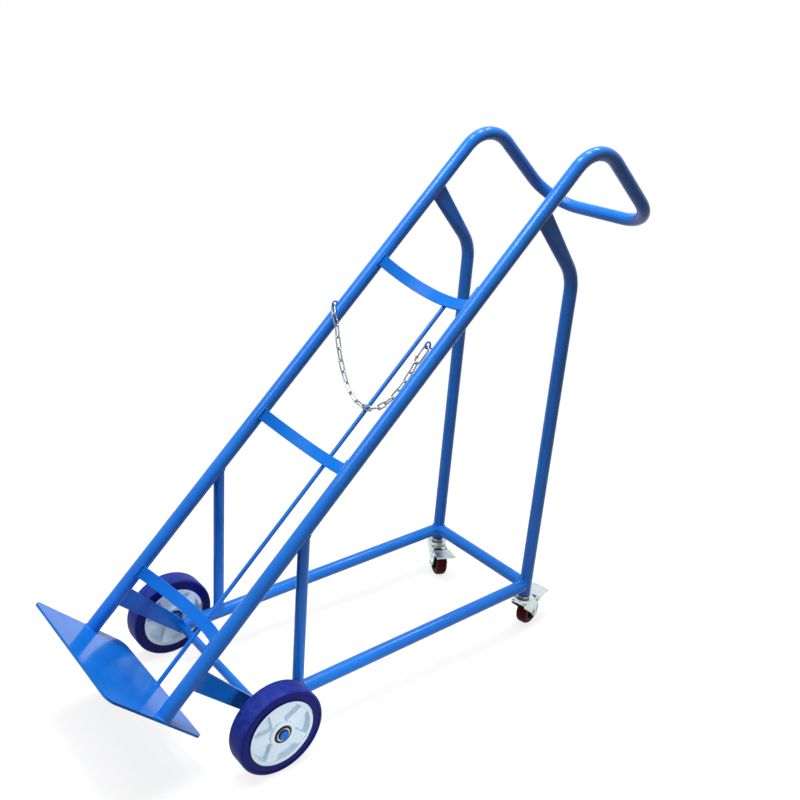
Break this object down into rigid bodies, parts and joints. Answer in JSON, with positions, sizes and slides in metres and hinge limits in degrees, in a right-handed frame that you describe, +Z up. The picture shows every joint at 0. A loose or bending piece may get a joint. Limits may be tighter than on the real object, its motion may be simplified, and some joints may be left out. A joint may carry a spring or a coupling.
{
  "type": "gas_cylinder_trolley",
  "caption": "Blue tubular gas cylinder trolley leaning on two wheels and braked swivel casters, with toe plate, cradle straps, chain and looped handle.",
  "frame": {"origin": "on the floor, under the middle of the object's bounding box", "axes": "+X to the left side as seen from behind the handle looking forwards, +Y back towards the handle and casters, +Z up; the toe plate is at -Y"},
  "size_m": [0.5502, 1.4451, 1.2507],
  "materials": {
    "blue_paint": "gloss powder coat",
    "black_plastic": "matte moulded",
    "zinc_steel": "bright zinc plate",
    "chain_zinc": "bright zinc plate",
    "bright_steel": "ground steel",
    "dark_steel": "blackened",
    "indigo_tyre": "satin polyurethane",
    "pale_hub": "satin moulded",
    "caster_rubber": "worn rubber"
  },
  "bodies": {
    "frame": {"frame_tube": "blue_paint", "toe_plate": "blue_paint", "upper_strap": "blue_paint", "middle_strap": "blue_paint", "lower_strap": "blue_paint", "centre_rod": "blue_paint", "left_axle_arm": "blue_paint", "right_axle_arm": "blue_paint", "axle_bar": "blue_paint", "left_front_strut": "blue_paint", "right_front_strut": "blue_paint", "left_base_tube": "blue_paint", "right_base_tube": "blue_paint", "rear_cross_tube": "blue_paint", "left_rear_leg": "blue_paint", "right_rear_leg": "blue_paint", "left_leg_plug": "black_plastic", "right_leg_plug": "black_plastic", "axle_collars": "blue_paint", "axle_washers": "zinc_steel", "axle_circlips": "dark_steel", "left_bearing_inner_rings": "bright_steel", "left_bearing_spacer": "bright_steel", "right_bearing_inner_rings": "bright_steel", "right_bearing_spacer": "bright_steel", "left_caster_stem": "zinc_steel", "left_king_nut": "zinc_steel", "right_caster_stem": "zinc_steel", "right_king_nut": "zinc_steel", "chain_eyes": "blue_paint"},
    "left_wheel": {"left_wheel_tyre": "indigo_tyre", "left_wheel_hub": "pale_hub", "left_bearing_outer_rings": "dark_steel", "left_bearing_balls": "bright_steel"},
    "right_wheel": {"right_wheel_tyre": "indigo_tyre", "right_wheel_hub": "pale_hub", "right_bearing_outer_rings": "dark_steel", "right_bearing_balls": "bright_steel"},
    "left_caster_swivel": {"left_caster_fork": "zinc_steel", "left_swivel_balls": "bright_steel", "left_caster_bolt": "zinc_steel", "left_pedal_rivets": "bright_steel"},
    "left_caster_wheel": {"left_caster_tread": "caster_rubber", "left_caster_hub": "black_plastic"},
    "left_pedal": {"left_brake_pedal": "zinc_steel"},
    "right_caster_swivel": {"right_caster_fork": "zinc_steel", "right_swivel_balls": "bright_steel", "right_caster_bolt": "zinc_steel", "right_pedal_rivets": "bright_steel"},
    "right_caster_wheel": {"right_caster_tread": "caster_rubber", "right_caster_hub": "black_plastic"},
    "right_pedal": {"right_brake_pedal": "zinc_steel"},
    "chain": {"chain_links": "chain_zinc", "snap_hook": "chain_zinc", "hook_pin": "bright_steel"},
    "gate": {"hook_gate": "chain_zinc"}
  },
  "joints": [
    {"name": "left_wheel_spin", "type": "hinge", "parent": "frame", "child": "left_wheel", "pos_m": [0.243, -0.38909, 0.1], "axis": [1, 0, 0], "continuous": true},
    {"name": "right_wheel_spin", "type": "hinge", "parent": "frame", "child": "right_wheel", "pos_m": [-0.243, -0.38909, 0.1], "axis": [1, 0, 0], "continuous": true},
    {"name": "left_caster_swivel_turn", "type": "hinge", "parent": "frame", "child": "left_caster_swivel", "pos_m": [0.175, 0.42291, 0.07], "axis": [0, 0, 1], "continuous": true},
    {"name": "left_caster_wheel_spin", "type": "hinge", "parent": "left_caster_swivel", "child": "left_caster_wheel", "pos_m": [0.16835, 0.45421, 0.0375], "axis": [0.9781, 0.2079, 0], "continuous": true},
    {"name": "left_pedal_lift", "type": "hinge", "parent": "left_caster_swivel", "child": "left_pedal", "pos_m": [0.16668, 0.46203, 0.074], "axis": [0.9781, 0.2079, 0], "range_deg": [0, 14]},
    {"name": "right_caster_swivel_turn", "type": "hinge", "parent": "frame", "child": "right_caster_swivel", "pos_m": [-0.175, 0.42291, 0.07], "axis": [0, 0, 1], "continuous": true},
    {"name": "right_caster_wheel_spin", "type": "hinge", "parent": "right_caster_swivel", "child": "right_caster_wheel", "pos_m": [-0.14577, 0.40989, 0.0375], "axis": [-0.4067, -0.9135, 0], "continuous": true},
    {"name": "right_pedal_lift", "type": "hinge", "parent": "right_caster_swivel", "child": "right_pedal", "pos_m": [-0.13846, 0.40664, 0.074], "axis": [-0.4067, -0.9135, 0], "range_deg": [0, 14]},
    {"name": "chain_swing", "type": "hinge", "parent": "frame", "child": "chain", "pos_m": [0, 0.01156, 0.84886], "axis": [-1, 0, 0], "range_deg": [0, 110]},
    {"name": "gate_open", "type": "hinge", "parent": "chain", "child": "gate", "pos_m": [0.13959, -0.00046, 0.81945], "axis": [0, 0.9257, -0.3783], "range_deg": [0, 20], "stiffness_Nm_per_rad": 0.05}
  ]
}
